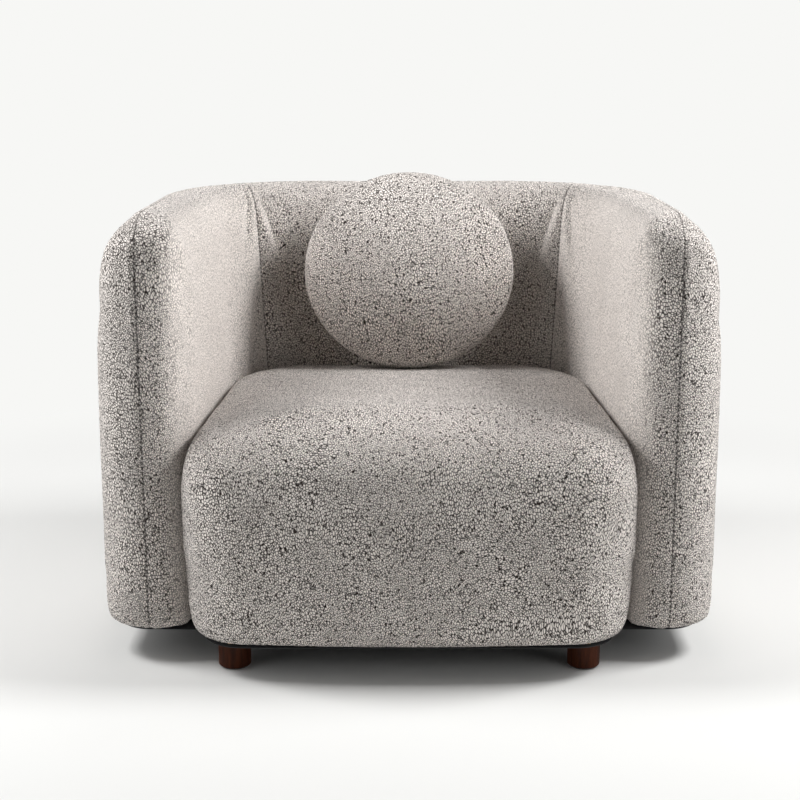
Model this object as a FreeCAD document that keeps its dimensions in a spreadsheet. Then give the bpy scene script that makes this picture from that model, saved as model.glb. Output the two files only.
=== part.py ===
"""Upholstered tub chair with a round loose cushion, as a bench of separate pieces.

Millimetres. X runs to the right, Y to the back, Z up. The front faces -Y and the
origin is on the floor, under the middle of the chair's plan.
"""
import FreeCAD
import Part
import Sketcher
import math
import os

Vector = FreeCAD.Vector

doc = FreeCAD.newDocument("tub_chair")

# Driving sizes
SIZES = {
    # whole chair
    "overall_width": 1000.0,
    "overall_depth": 840.0,
    "shell_height": 725.0,
    "underside_height": 50.0,
    # shell plan
    "seat_overhang": 92.0,
    "arm_thickness": 151.0,
    "back_thickness": 185.0,
    "arm_flare": 16.0,
    "corner_radius": 352.0,
    "inner_corner_radius": 170.0,
    "arm_outer_radius": 80.0,
    "arm_inner_radius": 60.0,
    # shell profile
    "back_lean": 36.0,
    "side_lean": 20.0,
    "lean_start": 350.0,
    "top_outer_inset": 80.0,
    "top_outer_drop": 96.0,
    "crest_width": 9.0,
    "top_inner_drop": 60.0,
    "back_roll_drop": 100.0,
    "top_front_inset": 84.0,
    "top_front_drop": 65.0,
    "shell_bottom_round": 17.0,
    "outer_seam_radius": 270.0,
    "back_seam_angle": 41.0,
    # cloth
    "cover_thickness": 3.0,
    "cover_gap": 0.5,
    # seat block
    "seat_front_width": 728.0,
    "seat_crest_height": 415.0,
    "seat_back_height": 386.0,
    "seat_crest_setback": 148.0,
    "seat_corner_radius": 95.0,
    "seat_waist_setback": 43.0,
    "seat_bow": 10.0,
    "seat_gap": 1.5,
    "seat_bottom_round": 22.0,
    "seat_bottom_taper": 10.0,
    "seat_widest_height": 294.0,
    "seat_roll": 110.0,
    "seat_edge_inset": 14.0,
    "seat_edge_rise": 45.0,
    "tuck_height": 290.0,
    # shell frame
    "ply_thickness": 18.0,
    "inner_foam_thickness": 36.0,
    "outer_foam_thickness": 30.0,
    "front_foam_thickness": 36.0,
    "rib_clearance": 3.0,
    "wood_lift": 4.0,
    "upper_rib_top": 640.0,
    "roll_clearance": 2.0,
    "board_thickness": 3.0,
    "board_clearance": 0.5,
    "card_thickness": 2.0,
    "board_bottom": 120.0,
    "post_width": 30.0,
    "post_depth": 60.0,
    "middle_post_y": -100.0,
    "back_post_x": 90.0,
    "corner_post_angle": 45.0,
    "tie_width": 60.0,
    "tie_height": 30.0,
    "front_tie_y": -198.0,
    "rear_tie_y": -20.0,
    # seat box
    "box_half_width": 325.0,
    "box_front_setback": 42.0,
    "box_back_setback": 30.0,
    "box_top": 265.0,
    "box_corner_cut": 40.0,
    "foot_block": 80.0,
    "foot_block_cut": 12.0,
    "back_block": 40.0,
    "centre_rail_height": 90.0,
    # seat springs
    "spring_wire": 3.8,
    "spring_count": 5,
    "spring_spacing": 110.0,
    "spring_loops": 16,
    "spring_run": 30.0,
    "spring_lead": 40.0,
    "clip_bore_clearance": 0.2,
    "felt_gap": 2.0,
    "clip_width": 24.0,
    "clip_depth": 14.0,
    "clip_height": 9.0,
    "felt_thickness": 4.0,
    # feet
    "foot_diameter": 52.0,
    "foot_edge_round": 3.0,
    "foot_spacing": 560.0,
    "front_foot_setback": 89.0,
    "glide_thickness": 2.0,
    "glide_diameter": 44.0,
    "bolt_diameter": 8.0,
    "bolt_in_foot": 28.0,
    "bolt_above_wood": 20.0,
    "thread_clearance": 0.1,
    "nut_flange_diameter": 22.0,
    "nut_flange_thickness": 1.5,
    "nut_barrel_diameter": 10.0,
    "nut_barrel_length": 9.0,
    "dust_cover_thickness": 1.0,
    "dust_cover_inset": 26.0,
    "dust_hole_clearance": 1.0,
    # cushion
    "cushion_diameter": 388.0,
    "cushion_thickness": 156.0,
    "cushion_squash": 0.95,
    "cushion_rim_radius": 30.0,
    "cushion_tilt": 18.0,
    "cushion_gap": 1.0,
    "cushion_skin": 2.0,
}

sheet = doc.addObject("Spreadsheet::Sheet", "Sizes")
for row, (alias, value) in enumerate(SIZES.items(), start=1):
    sheet.set("A%d" % row, alias)
    sheet.set("B%d" % row, str(value))
    sheet.setAlias("B%d" % row, alias)
doc.recompute()


def size(alias):
    """One driving size, read from the sheet."""
    return float(sheet.get(alias))


# Sizes that follow from the driving ones
HALF = size("overall_width") / 2
BACK_Y = size("overall_depth") / 2
SEAT_FRONT_Y = -size("overall_depth") / 2
ARM_FRONT_Y = SEAT_FRONT_Y + size("seat_overhang")
BOTTOM = size("underside_height")
TOP = size("shell_height")
INNER_HALF = HALF - size("arm_thickness")
INNER_BACK_Y = BACK_Y - size("back_thickness")
# The seat's crest stands at its front or at its back, whichever is higher
SEAT_LOW = min(size("seat_back_height"), size("seat_crest_height"))
SEAT_HIGH = max(size("seat_back_height"), size("seat_crest_height"))
CREST_AHEAD = size("seat_crest_height") > size("seat_back_height")
CREST_INSET = size("top_outer_inset") + size("side_lean")
ARM_ROLL = size("arm_thickness") - CREST_INSET - size("crest_width")
BACK_ROLL = size("back_thickness") - CREST_INSET - size("crest_width") - size("back_lean")
CORNER_X = HALF - size("corner_radius")
CORNER_Y = BACK_Y - size("corner_radius")
SKIN = size("cover_thickness")
FOAM_OFFSET = SKIN + size("cover_gap")
CAVITY_OUTER = size("corner_radius") - size("outer_foam_thickness")
CAVITY_INNER = INNER_HALF + size("inner_foam_thickness") - CORNER_X
CAVITY_FRONT_Y = ARM_FRONT_Y + size("front_foam_thickness")
CAVITY_TOP = size("upper_rib_top") + size("roll_clearance")
BOARD_INNER = CAVITY_INNER + size("board_clearance")
RIB_INNER = BOARD_INNER + size("board_thickness") + size("board_clearance")
RIB_OUTER = CAVITY_OUTER - size("rib_clearance")
RIB_FRONT_Y = CAVITY_FRONT_Y + size("rib_clearance")
RIB_MIDDLE = (RIB_INNER + RIB_OUTER) / 2
PLY = size("ply_thickness")
WOOD_BASE = BOTTOM + size("wood_lift")
BOX_HALF = size("box_half_width")
BOX_FRONT_Y = SEAT_FRONT_Y + size("box_front_setback")
BOX_BACK_Y = INNER_BACK_Y - size("box_back_setback")
BOX_CUT = size("box_corner_cut")
SPRING_Z = size("box_top") + size("clip_height") / 2
FELT_Z = size("box_top") + size("clip_height") + size("felt_gap")
FOAM_BASE = FELT_Z + size("felt_thickness") + size("board_clearance")
FOOT_X = size("foot_spacing") / 2
FRONT_FOOT_Y = SEAT_FRONT_Y + size("front_foot_setback")
REAR_FOOT_Y = CORNER_Y + math.sqrt(RIB_MIDDLE ** 2 - (FOOT_X - CORNER_X) ** 2)
FEET = [(-FOOT_X, FRONT_FOOT_Y), (FOOT_X, FRONT_FOOT_Y), (-FOOT_X, REAR_FOOT_Y), (FOOT_X, REAR_FOOT_Y)]


# Heights at which the forms are cut for lofting, as shares of each stretch
BOTTOM_SHARES = (0.0, 0.1, 0.4)
ROLL_ANGLES = range(0, 91, 15)
SEAT_EDGE_SHARES = (0.0, 0.3, 0.55, 0.75, 0.9)
CROWN_SHARES = (0.0, 0.15, 0.35, 0.55, 0.72, 0.86, 0.95, 1.0)

# How the seat's crown closes: its fullness, and how fast it draws in to the back and to the sides
CROWN_BACK_POWER = 0.85
CROWN_SIDE_POWER = 0.3
CROWN_SIDE_SHARE = 0.9
EDGE_MARGIN = 1.05
CORNER_SHARE = 0.4
BOW_SHARE = 0.1
SIDE_SHARE = 0.05


# Small helpers for wires and solids

def line(start, end):
    return Part.LineSegment(Vector(*start), Vector(*end)).toShape()


def arc(start, middle, end):
    return Part.Arc(Vector(*start), Vector(*middle), Vector(*end)).toShape()


def quarter(center, radius, start_angle, end_angle, height):
    """Arc about a centre in the plan, between two angles in degrees."""
    points = []
    for angle in (start_angle, (start_angle + end_angle) / 2, end_angle):
        turn = math.radians(angle)
        points.append((center[0] + radius * math.cos(turn), center[1] + radius * math.sin(turn), height))
    return arc(*points)


def prism(edges, height):
    """Vertical prism on a closed plan outline."""
    return Part.Face(Part.Wire(edges)).extrude(Vector(0, 0, height))


def block(low, high):
    """Axis-aligned block between two corners."""
    low = Vector(*low)
    diagonal = Vector(*high) - low
    return Part.makeBox(diagonal.x, diagonal.y, diagonal.z, low)


def single(shape):
    """The biggest solid of a boolean's result."""
    return max(shape.Solids, key=lambda solid: solid.Volume)


def feature(label, shape):
    piece = doc.addObject("Part::Feature", label)
    piece.Label = label
    piece.Shape = shape
    piece.Placement = shape.Placement
    return piece


# Shell form: a stack of horizontal U outlines, lofted

def ellipse_inset(height, start, drop, inset):
    """Inset of a rounded edge at a height, and how upright the wall still is there."""
    share = min(max((height - start) / drop, 0.0), 1.0)
    upright = math.sqrt(max(0.0, 1 - share * share))
    return inset * (1 - upright), upright


def shell_outline(height, offset):
    """U-shaped plan of the shell at a height, its wall moved in by offset."""
    lean_share = max(0.0, (height - size("lean_start")) / (TOP - size("lean_start")))
    bottom_share = max(0.0, 1 - (height - BOTTOM) / size("shell_bottom_round"))
    foot = size("shell_bottom_round") * (1 - math.sqrt(max(0.0, 1 - bottom_share ** 2)))
    outer, outer_up = ellipse_inset(height, TOP - size("top_outer_drop"), size("top_outer_drop"),
                                    size("top_outer_inset"))
    inner, inner_up = ellipse_inset(height, TOP - size("top_inner_drop"), size("top_inner_drop"), ARM_ROLL)
    roll, roll_up = ellipse_inset(height, TOP - size("back_roll_drop"), size("back_roll_drop"), BACK_ROLL)
    front, front_up = ellipse_inset(height, TOP - size("top_front_drop"), size("top_front_drop"),
                                    size("top_front_inset"))
    rise = max(0.0, (height - size("seat_back_height")) / (TOP - size("seat_back_height")))
    outer += size("side_lean") * lean_share ** 2 + foot + offset * outer_up
    inner += offset * inner_up
    roll += size("back_lean") * math.sin(rise * math.pi / 2) + offset * roll_up
    front += foot + offset * front_up

    half = HALF - outer
    back = BACK_Y - outer
    corner = size("corner_radius") - outer
    front_y = ARM_FRONT_Y + front
    inner_half = INNER_HALF + inner
    inner_rear = inner_half - size("arm_flare")
    inner_back = INNER_BACK_Y + roll
    inner_corner = size("inner_corner_radius") + inner
    band = (half - inner_half) / size("arm_thickness")
    nose_outer = size("arm_outer_radius") * band
    nose_inner = size("arm_inner_radius") * band

    z = height
    edges = [line((half - corner, back, z), (corner - half, back, z))]
    edges.append(quarter((corner - half, back - corner), corner, 90, 180, z))
    edges.append(line((-half, back - corner, z), (-half, front_y + nose_outer, z)))
    edges.append(quarter((nose_outer - half, front_y + nose_outer), nose_outer, 180, 270, z))
    edges.append(line((nose_outer - half, front_y, z), (-inner_half - nose_inner, front_y, z)))
    edges.append(quarter((-inner_half - nose_inner, front_y + nose_inner), nose_inner, 270, 360, z))
    edges.append(line((-inner_half, front_y + nose_inner, z), (-inner_rear, inner_back - inner_corner, z)))
    edges.append(quarter((inner_corner - inner_rear, inner_back - inner_corner), inner_corner, 180, 90, z))
    edges.append(line((inner_corner - inner_rear, inner_back, z), (inner_rear - inner_corner, inner_back, z)))
    edges.append(quarter((inner_rear - inner_corner, inner_back - inner_corner), inner_corner, 90, 0, z))
    edges.append(line((inner_rear, inner_back - inner_corner, z), (inner_half, front_y + nose_inner, z)))
    edges.append(quarter((inner_half + nose_inner, front_y + nose_inner), nose_inner, 180, 270, z))
    edges.append(line((inner_half + nose_inner, front_y, z), (half - nose_outer, front_y, z)))
    edges.append(quarter((half - nose_outer, front_y + nose_outer), nose_outer, 270, 360, z))
    edges.append(line((half, front_y + nose_outer, z), (half, back - corner, z)))
    edges.append(quarter((half - corner, back - corner), corner, 0, 90, z))
    return edges


def lofted(outline, levels, offset, sink, ruled):
    """Loft through an outline taken at each level; sink lowers the top ones of an inner form."""
    wires = []
    for height in levels:
        wire = Part.Wire(outline(height, offset))
        wire.translate(Vector(0, 0, -offset * sink(height)))
        wires.append(wire)
    return Part.makeLoft(wires, True, ruled)


def shell_form(offset):
    """Solid of the whole shell, its wall moved in by offset."""
    round_top = BOTTOM + size("shell_bottom_round")
    curve_start = TOP - size("top_outer_drop")

    def sink(height):
        return max(0.0, (height - curve_start) / size("top_outer_drop"))

    walls = [BOTTOM + share * size("shell_bottom_round") for share in BOTTOM_SHARES]
    walls += [round_top, size("lean_start"), (size("lean_start") + curve_start) / 2, curve_start]
    roll = [curve_start + size("top_outer_drop") * math.sin(math.radians(angle)) for angle in ROLL_ANGLES]
    lower = lofted(shell_outline, walls, offset, sink, True)
    upper = lofted(shell_outline, roll, offset, sink, False)
    return lower.fuse(upper)


# Seat form: a stack of rounded plans, lofted, with a crown and a rolled front

def seat_outline(height, offset):
    """Plan of the seat block at a height, its wall moved in by offset."""
    bottom_share = max(0.0, 1 - (height - BOTTOM) / size("seat_bottom_round"))
    foot = size("seat_bottom_round") * (1 - math.sqrt(max(0.0, 1 - bottom_share ** 2)))
    below = max(0.0, 1 - (height - BOTTOM) / (size("seat_widest_height") - BOTTOM))
    foot += size("seat_bottom_taper") * below ** 2
    roll, upright = ellipse_inset(height, size("seat_crest_height") - size("seat_roll"), size("seat_roll"),
                                  size("seat_roll"))
    edge, edge_up = ellipse_inset(height, size("seat_back_height") - size("seat_edge_rise"),
                                  size("seat_edge_rise") * EDGE_MARGIN, size("seat_edge_inset"))
    crown = min(max((height - SEAT_LOW) / (SEAT_HIGH - SEAT_LOW), 0.0), 1.0)
    edge += offset * edge_up
    roll += offset * upright

    front_y = SEAT_FRONT_Y + foot + roll
    back_y = INNER_BACK_Y - size("seat_gap") - edge
    crest_y = SEAT_FRONT_Y + size("seat_crest_setback")
    if CREST_AHEAD:
        back_y = back_y + (crest_y - back_y) * crown ** CROWN_BACK_POWER
    else:
        ridge = size("seat_crest_setback") - size("seat_roll")
        front_y = front_y + (back_y - ridge - front_y) * crown ** CROWN_BACK_POWER
    depth = back_y - front_y
    front_corner = min(size("seat_corner_radius"), CORNER_SHARE * depth)
    rear_corner = min(size("inner_corner_radius") - size("seat_gap"), CORNER_SHARE * depth)
    bow = min(size("seat_bow"), BOW_SHARE * depth)
    nose_y = front_y + bow
    # The block is widest ahead of the arms and passes between them behind its waist
    side_y = ARM_FRONT_Y + size("seat_waist_setback")
    widest_y = SEAT_FRONT_Y + size("seat_bow") + size("seat_corner_radius")
    spread = min(max((side_y - nose_y - front_corner) / (side_y - widest_y), 0.0), 1.0)
    waist_y = max(side_y, nose_y + front_corner + SIDE_SHARE * depth)

    squeeze = (1 - CROWN_SIDE_SHARE * crown) ** CROWN_SIDE_POWER
    side_half = INNER_HALF - size("seat_gap") - edge
    front_half = side_half + (size("seat_front_width") / 2 - foot - edge - side_half) * spread
    side_half *= squeeze
    front_half *= squeeze
    rear_half = (INNER_HALF - size("arm_flare") - size("seat_gap") - edge) * squeeze

    z = height
    edges = [line((rear_half - rear_corner, back_y, z), (rear_corner - rear_half, back_y, z))]
    edges.append(quarter((rear_corner - rear_half, back_y - rear_corner), rear_corner, 90, 180, z))
    edges.append(line((-rear_half, back_y - rear_corner, z), (-side_half, waist_y, z)))
    edges.append(line((-side_half, waist_y, z), (-front_half, nose_y + front_corner, z)))
    edges.append(quarter((front_corner - front_half, nose_y + front_corner), front_corner, 180, 270, z))
    edges.append(arc((front_corner - front_half, nose_y, z), (0, front_y, z), (front_half - front_corner, nose_y, z)))
    edges.append(quarter((front_half - front_corner, nose_y + front_corner), front_corner, 270, 360, z))
    edges.append(line((front_half, nose_y + front_corner, z), (side_half, waist_y, z)))
    edges.append(line((side_half, waist_y, z), (rear_half, back_y - rear_corner, z)))
    edges.append(quarter((rear_half - rear_corner, back_y - rear_corner), rear_corner, 0, 90, z))
    return edges


def seat_form(offset):
    """Solid of the whole seat block, its wall moved in by offset."""
    round_top = BOTTOM + size("seat_bottom_round")
    roll_start = size("seat_crest_height") - size("seat_roll")

    def sink(height):
        return min(1.0, max(0.0, (height - roll_start) / (SEAT_LOW - roll_start)))

    walls = [BOTTOM + share * size("seat_bottom_round") for share in BOTTOM_SHARES]
    walls += [round_top, (round_top + size("seat_widest_height")) / 2, size("seat_widest_height")]
    walls = [height for height in walls if height < roll_start] + [roll_start]
    roll = [roll_start + share * (SEAT_LOW - roll_start) for share in SEAT_EDGE_SHARES]
    crown = [SEAT_LOW + share * (SEAT_HIGH - SEAT_LOW) for share in CROWN_SHARES]
    lower = lofted(seat_outline, walls, offset, sink, True)
    upper = lofted(seat_outline, roll + crown, offset, sink, True)
    return lower.fuse(upper)


# Plan regions that cut the forms into panels and pads

def u_region(radius, front_y, low, high):
    """Prism of everything inside the U path of one radius, back to the front line."""
    x = CORNER_X + radius
    z = low
    edges = [line((CORNER_X, CORNER_Y + radius, z), (-CORNER_X, CORNER_Y + radius, z))]
    edges.append(quarter((-CORNER_X, CORNER_Y), radius, 90, 180, z))
    edges.append(line((-x, CORNER_Y, z), (-x, front_y, z)))
    edges.append(line((-x, front_y, z), (x, front_y, z)))
    edges.append(line((x, front_y, z), (x, CORNER_Y, z)))
    edges.append(quarter((CORNER_X, CORNER_Y), radius, 0, 90, z))
    return prism(edges, high - low)


def u_band(inner, outer, front_y, low, high):
    """U-shaped band between two radii, open at the front."""
    return u_region(outer, front_y, low, high).cut(u_region(inner, front_y - HALF, low, high))


def back_sector():
    """Prism of the back, between the two seam planes."""
    reach = 2 * BACK_Y
    turn = math.radians(size("back_seam_angle"))
    x = CORNER_X + reach * math.sin(turn)
    y = CORNER_Y + reach * math.cos(turn)
    points = [(-CORNER_X, CORNER_Y, 0), (CORNER_X, CORNER_Y, 0), (x, y, 0), (-x, y, 0)]
    edges = [line(points[i], points[(i + 1) % 4]) for i in range(4)]
    return prism(edges, 2 * TOP)


FAR = 2 * HALF
back_region = back_sector()
left_region = block((-FAR, -FAR, 0), (0, FAR, 2 * TOP)).cut(back_region)
right_region = block((0, -FAR, 0), (FAR, FAR, 2 * TOP)).cut(back_region)
tuck_front_y = ARM_FRONT_Y + size("arm_inner_radius") + size("seat_gap")
tuck_space = u_region(CAVITY_INNER, tuck_front_y, 0, size("tuck_height"))

shell_outside = shell_form(0.0)
shell_inside = shell_form(FOAM_OFFSET)
shell_hollow = shell_form(SKIN)
seat_outside = seat_form(0.0)
seat_inside = seat_form(FOAM_OFFSET)
seat_hollow = seat_form(SKIN)

def slab(low, high):
    """Everything between two heights."""
    return block((-FAR, -FAR, low), (FAR, FAR, high))


# Cloth covers: sewn panels of the shell, and the seat's own cover

cloth = shell_outside.cut(shell_hollow)
inside_seam = u_region(size("outer_seam_radius"), -FAR, 0, 2 * TOP)
feature("outer_cover", single(cloth.cut(inside_seam)))
inner_cloth = cloth.common(inside_seam).cut(tuck_space)
feature("inner_back_cover", single(inner_cloth.common(back_region)))
feature("left_arm_cover", single(inner_cloth.common(left_region)))
feature("right_arm_cover", single(inner_cloth.common(right_region)))
feature("seat_cover", single(seat_outside.cut(seat_hollow).cut(tuck_space)))

# Foam and wadding of the shell, in pads as they are glued on

cavity = u_band(CAVITY_INNER, CAVITY_OUTER, CAVITY_FRONT_Y, 0, CAVITY_TOP)
padding = shell_inside.cut(cavity).cut(tuck_space).cut(slab(0, WOOD_BASE))
walls = padding.common(slab(0, CAVITY_TOP))
behind_front = block((-FAR, CAVITY_FRONT_Y, 0), (FAR, FAR, 2 * TOP))
inside_cavity = u_region(CAVITY_INNER, -FAR, 0, 2 * TOP)
inner_pads = walls.common(behind_front).common(inside_cavity)
outer_pads = walls.common(behind_front).cut(inside_cavity)
front_pads = walls.cut(behind_front)
roll_pads = padding.cut(slab(0, CAVITY_TOP))
for side, region in (("back", back_region), ("left", left_region), ("right", right_region)):
    feature(side + "_inner_foam", single(inner_pads.common(region)))
    feature(side + "_outer_wadding", single(outer_pads.common(region)))
    feature(side + "_top_roll", single(roll_pads.common(region)))
    if side != "back":
        feature(side + "_arm_front_foam", single(front_pads.common(region)))

# Seat foam on the springs, and the border foam round the box

box_plan = [(-BOX_HALF, BOX_BACK_Y), (-BOX_HALF, BOX_FRONT_Y + BOX_CUT), (BOX_CUT - BOX_HALF, BOX_FRONT_Y),
            (BOX_HALF - BOX_CUT, BOX_FRONT_Y), (BOX_HALF, BOX_FRONT_Y + BOX_CUT), (BOX_HALF, BOX_BACK_Y)]
box_edges = [line(start + (0,), end + (0,)) for start, end in zip(box_plan, box_plan[1:] + box_plan[:1])]
box_space = prism(box_edges, FOAM_BASE).makeOffsetShape(size("board_clearance"), 0.01)
feature("seat_foam", single(seat_inside.cut(slab(0, FOAM_BASE))))
border = seat_inside.common(slab(WOOD_BASE, FOAM_BASE)).cut(box_space).cut(tuck_space)
feature("seat_border_foam", single(border))


# Flat pieces: bodies padded from a plan sketch

def origin_plane(body, role):
    return [plane for plane in body.Origin.OriginFeatures if plane.Role == role][0]


def plan_sketch(body, name, role="XY_Plane"):
    sketch = body.newObject("Sketcher::SketchObject", name)
    sketch.AttachmentSupport = [(origin_plane(body, role), "")]
    sketch.MapMode = "FlatFace"
    return sketch


def pad(body, sketch, name, length):
    feature_pad = body.newObject("PartDesign::Pad", name)
    feature_pad.Profile = sketch
    feature_pad.setExpression("Length", length)
    body.Tip = feature_pad
    return feature_pad


def ends(curve):
    return ((1, curve.StartPoint), (2, curve.EndPoint))


def closed_loop(sketch, curves):
    """Adds curves end to end and ties the ends that meet; an arc's own ends run anticlockwise."""
    first = sketch.GeometryCount
    for curve in curves:
        sketch.addGeometry(curve, False)
    if len(curves) < 2:
        return
    for i in range(len(curves)):
        here = first + i
        following = first + (i + 1) % len(curves)
        pairs = [(tip.distanceToPoint(start), tip_end, start_end)
                 for tip_end, tip in ends(sketch.Geometry[here])
                 for start_end, start in ends(sketch.Geometry[following])]
        gap, tip_end, start_end = min(pairs)
        sketch.addConstraint(Sketcher.Constraint("Coincident", here, tip_end, following, start_end))


def plate(label, loops, thickness, lift):
    """Body padded from closed loops in the plan; thickness and lift are expressions."""
    body = doc.addObject("PartDesign::Body", label)
    body.Label = label
    body.AllowCompound = True
    sketch = plan_sketch(body, label + "_plan")
    for curves in loops:
        closed_loop(sketch, curves)
    pad(body, sketch, label + "_pad", thickness)
    body.setExpression(".Placement.Base.z", lift)
    return body


def plan_line(start, end):
    return Part.LineSegment(Vector(start[0], start[1], 0), Vector(end[0], end[1], 0))


def plan_arc(center, radius, start_angle, end_angle):
    """Anticlockwise arc between two angles in degrees, the smaller one first."""
    points = []
    for angle in (start_angle, (start_angle + end_angle) / 2, end_angle):
        turn = math.radians(angle)
        points.append(Vector(center[0] + radius * math.cos(turn), center[1] + radius * math.sin(turn), 0))
    return Part.Arc(*points)


def polygon(points):
    return [plan_line(start, end) for start, end in zip(points, points[1:] + points[:1])]


def rectangle(x, y, width, depth, turn=0.0):
    """Corners of a rectangle about its centre, turned by degrees."""
    cosine = math.cos(math.radians(turn))
    sine = math.sin(math.radians(turn))
    corners = []
    for side_x, side_y in ((-1, -1), (1, -1), (1, 1), (-1, 1)):
        dx = side_x * width / 2
        dy = side_y * depth / 2
        corners.append((x + dx * cosine - dy * sine, y + dx * sine + dy * cosine))
    return polygon(corners)


def u_loop(inner, outer, front_y):
    """Closed U outline between two radii about the corner centres."""
    inner_x = CORNER_X + inner
    outer_x = CORNER_X + outer
    return [
        plan_line((CORNER_X, CORNER_Y + outer), (-CORNER_X, CORNER_Y + outer)),
        plan_arc((-CORNER_X, CORNER_Y), outer, 90, 180),
        plan_line((-outer_x, CORNER_Y), (-outer_x, front_y)),
        plan_line((-outer_x, front_y), (-inner_x, front_y)),
        plan_line((-inner_x, front_y), (-inner_x, CORNER_Y)),
        plan_arc((-CORNER_X, CORNER_Y), inner, 90, 180),
        plan_line((-CORNER_X, CORNER_Y + inner), (CORNER_X, CORNER_Y + inner)),
        plan_arc((CORNER_X, CORNER_Y), inner, 0, 90),
        plan_line((inner_x, CORNER_Y), (inner_x, front_y)),
        plan_line((inner_x, front_y), (outer_x, front_y)),
        plan_line((outer_x, front_y), (outer_x, CORNER_Y)),
        plan_arc((CORNER_X, CORNER_Y), outer, 0, 90),
    ]


def hole(center, diameter):
    return [Part.Circle(Vector(center[0], center[1], 0), Vector(0, 0, 1), diameter / 2)]


NUT_HOLE = size("nut_barrel_diameter") + 2 * size("thread_clearance")
BASE_LIFT = "Sizes.underside_height + Sizes.wood_lift"

# Shell frame: two plywood ribs on posts, boarded inside and carded outside

rib_loop = u_loop(RIB_INNER, RIB_OUTER, RIB_FRONT_Y)
rear_nut_holes = [hole(place, NUT_HOLE) for place in FEET[2:]]
plate("lower_rib", [rib_loop] + rear_nut_holes, "Sizes.ply_thickness", BASE_LIFT)
plate("upper_rib", [u_loop(RIB_INNER, RIB_OUTER, RIB_FRONT_Y)], "Sizes.ply_thickness",
      "Sizes.upper_rib_top - Sizes.ply_thickness")

POST_LENGTH = "Sizes.upper_rib_top - 2 * Sizes.ply_thickness - (%s)" % BASE_LIFT
POST_LIFT = "%s + Sizes.ply_thickness" % BASE_LIFT
post_x = CORNER_X + RIB_MIDDLE
front_post_y = RIB_FRONT_Y + PLY + size("post_width") / 2
post_loops = []
for mirror in (-1, 1):
    for y in (front_post_y, size("middle_post_y"), CORNER_Y):
        post_loops.append(rectangle(mirror * post_x, y, size("post_depth"), size("post_width")))
    turn = size("corner_post_angle")
    x = CORNER_X + RIB_MIDDLE * math.sin(math.radians(turn))
    y = CORNER_Y + RIB_MIDDLE * math.cos(math.radians(turn))
    post_loops.append(rectangle(mirror * x, y, size("post_width"), size("post_depth"), -mirror * turn))
    post_loops.append(rectangle(mirror * size("back_post_x"), CORNER_Y + RIB_MIDDLE,
                                size("post_width"), size("post_depth")))
plate("frame_posts", post_loops, POST_LENGTH, POST_LIFT)

for side, mirror in (("left", -1), ("right", 1)):
    loop = rectangle(mirror * post_x, RIB_FRONT_Y + PLY / 2, RIB_OUTER - RIB_INNER, PLY)
    plate(side + "_arm_front_board", [loop], POST_LENGTH, POST_LIFT)

board_loop = u_loop(BOARD_INNER, BOARD_INNER + size("board_thickness"), RIB_FRONT_Y)
plate("inner_board", [board_loop], "Sizes.upper_rib_top - Sizes.board_bottom", "Sizes.board_bottom")
card_outer = CAVITY_OUTER - size("board_clearance")
card_loop = u_loop(card_outer - size("card_thickness"), card_outer, RIB_FRONT_Y)
plate("outer_card", [card_loop], "Sizes.upper_rib_top - (%s)" % BASE_LIFT, BASE_LIFT)

tie_loops = []
for mirror in (-1, 1):
    for y in (size("front_tie_y"), size("rear_tie_y")):
        middle = mirror * (BOX_HALF + CORNER_X + RIB_OUTER) / 2
        tie_loops.append(rectangle(middle, y, CORNER_X + RIB_OUTER - BOX_HALF, size("tie_width")))
back_tie_length = CORNER_Y + RIB_OUTER - BOX_BACK_Y
tie_loops.append(rectangle(0, BOX_BACK_Y + back_tie_length / 2, size("tie_width"), back_tie_length))
plate("tie_rails", tie_loops, "Sizes.tie_height", POST_LIFT)

# Seat box: plywood panels round the springs

BOX_HEIGHT = "Sizes.box_top - (%s)" % BASE_LIFT
front_panel = rectangle(0, BOX_FRONT_Y + PLY / 2, 2 * (BOX_HALF - BOX_CUT), PLY)
plate("box_front_panel", [front_panel], BOX_HEIGHT, BASE_LIFT)
plate("box_back_panel", [rectangle(0, BOX_BACK_Y - PLY / 2, 2 * (BOX_HALF - PLY), PLY)], BOX_HEIGHT, BASE_LIFT)
side_length = BOX_BACK_Y - BOX_FRONT_Y - BOX_CUT
for side, mirror in (("left", -1), ("right", 1)):
    loop = rectangle(mirror * (BOX_HALF - PLY / 2), BOX_BACK_Y - side_length / 2, PLY, side_length)
    plate("box_%s_panel" % side, [loop], BOX_HEIGHT, BASE_LIFT)
rail_length = BOX_BACK_Y - BOX_FRONT_Y - 2 * PLY
plate("box_centre_rail", [rectangle(0, (BOX_BACK_Y + BOX_FRONT_Y) / 2, PLY, rail_length)],
      "Sizes.centre_rail_height", BASE_LIFT)

foot_block_loops = []
for mirror in (-1, 1):
    outer_x = mirror * (BOX_HALF - PLY)
    inner_x = mirror * (BOX_HALF - PLY - size("foot_block"))
    cut_x = mirror * (BOX_HALF - PLY - size("foot_block_cut"))
    near_y = BOX_FRONT_Y + PLY
    cut_y = near_y + size("foot_block_cut")
    far_y = near_y + size("foot_block")
    points = [(inner_x, near_y), (cut_x, near_y), (outer_x, cut_y), (outer_x, far_y), (inner_x, far_y)]
    foot_block_loops.append(polygon(points))
front_nut_holes = [hole(place, NUT_HOLE) for place in FEET[:2]]
plate("foot_blocks", foot_block_loops + front_nut_holes, "Sizes.ply_thickness", BASE_LIFT)

back_block_loops = []
for mirror in (-1, 1):
    x = mirror * (BOX_HALF - PLY - size("back_block") / 2)
    y = BOX_BACK_Y - PLY - size("back_block") / 2
    back_block_loops.append(rectangle(x, y, size("back_block"), size("back_block")))
plate("back_corner_blocks", back_block_loops, BOX_HEIGHT, BASE_LIFT)

# Zigzag seat springs, front to back, each end in a clip

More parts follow.
